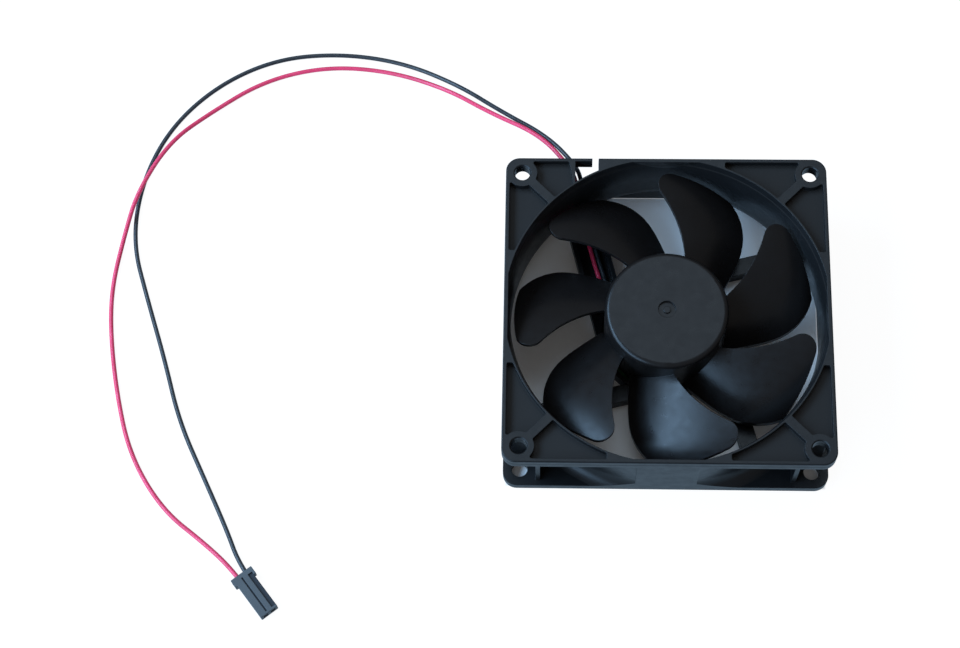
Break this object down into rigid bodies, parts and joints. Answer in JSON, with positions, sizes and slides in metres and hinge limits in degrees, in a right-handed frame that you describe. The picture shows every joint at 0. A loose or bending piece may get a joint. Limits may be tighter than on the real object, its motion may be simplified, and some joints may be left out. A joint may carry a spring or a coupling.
{
  "type": "axial cooling fan",
  "caption": "Square axial cooling fan with a flanged duct, swept blades on a round hub, rear struts and two loose leads to a small connector.",
  "frame": {"origin": "centre of the rear face of the frame, on the surface that the fan lies on", "axes": "+Z along the fan's axis out of the front, where air goes in; +X to the right and +Y away from the viewer in the picture"},
  "size_m": [0.2094, 0.1781, 0.025],
  "materials": {
    "frame_plastic": "satin black moulded plastic",
    "impeller_plastic": "satin black moulded plastic",
    "brass": "drawn",
    "sintered_bronze": "sintered, oil filled",
    "steel": "ground",
    "yoke_steel": "zinc plated",
    "magnet": "bonded ferrite",
    "core_steel": "stamped",
    "insulator_plastic": "moulded",
    "copper": "enamelled wire",
    "board": "solder mask",
    "component_plastic": "moulded",
    "pad_plastic": "moulded",
    "rubber_black": "moulded",
    "red_insulation": "satin",
    "black_insulation": "satin",
    "connector_plastic": "satin",
    "terminal_metal": "tin plated"
  },
  "bodies": {
    "housing": {"frame": "frame_plastic", "bearing_tube": "brass", "sleeve_bush": "sintered_bronze", "end_cap": "rubber_black", "thrust_pad": "pad_plastic", "stator_core": "core_steel", "front_insulator": "insulator_plastic", "rear_insulator": "insulator_plastic", "windings": "copper", "winding_pins": "terminal_metal", "circuit_board": "board", "hall_sensor": "component_plastic", "driver_chip": "component_plastic", "capacitor": "component_plastic", "black_lead_in_strut": "black_insulation", "red_lead_in_strut": "red_insulation", "black_lead": "black_insulation", "red_lead": "red_insulation", "connector_housing": "connector_plastic", "black_terminal": "terminal_metal", "red_terminal": "terminal_metal"},
    "rotor": {"impeller": "impeller_plastic", "rotor_yoke": "yoke_steel", "magnet_ring": "magnet", "shaft": "steel", "shaft_insert": "brass", "retaining_clip": "pad_plastic", "oil_slinger": "rubber_black"}
  },
  "joints": [
    {"name": "impeller_spin", "type": "hinge", "parent": "housing", "child": "rotor", "pos_m": [0, 0, 0.012], "axis": [0, 0, 1], "continuous": true}
  ]
}
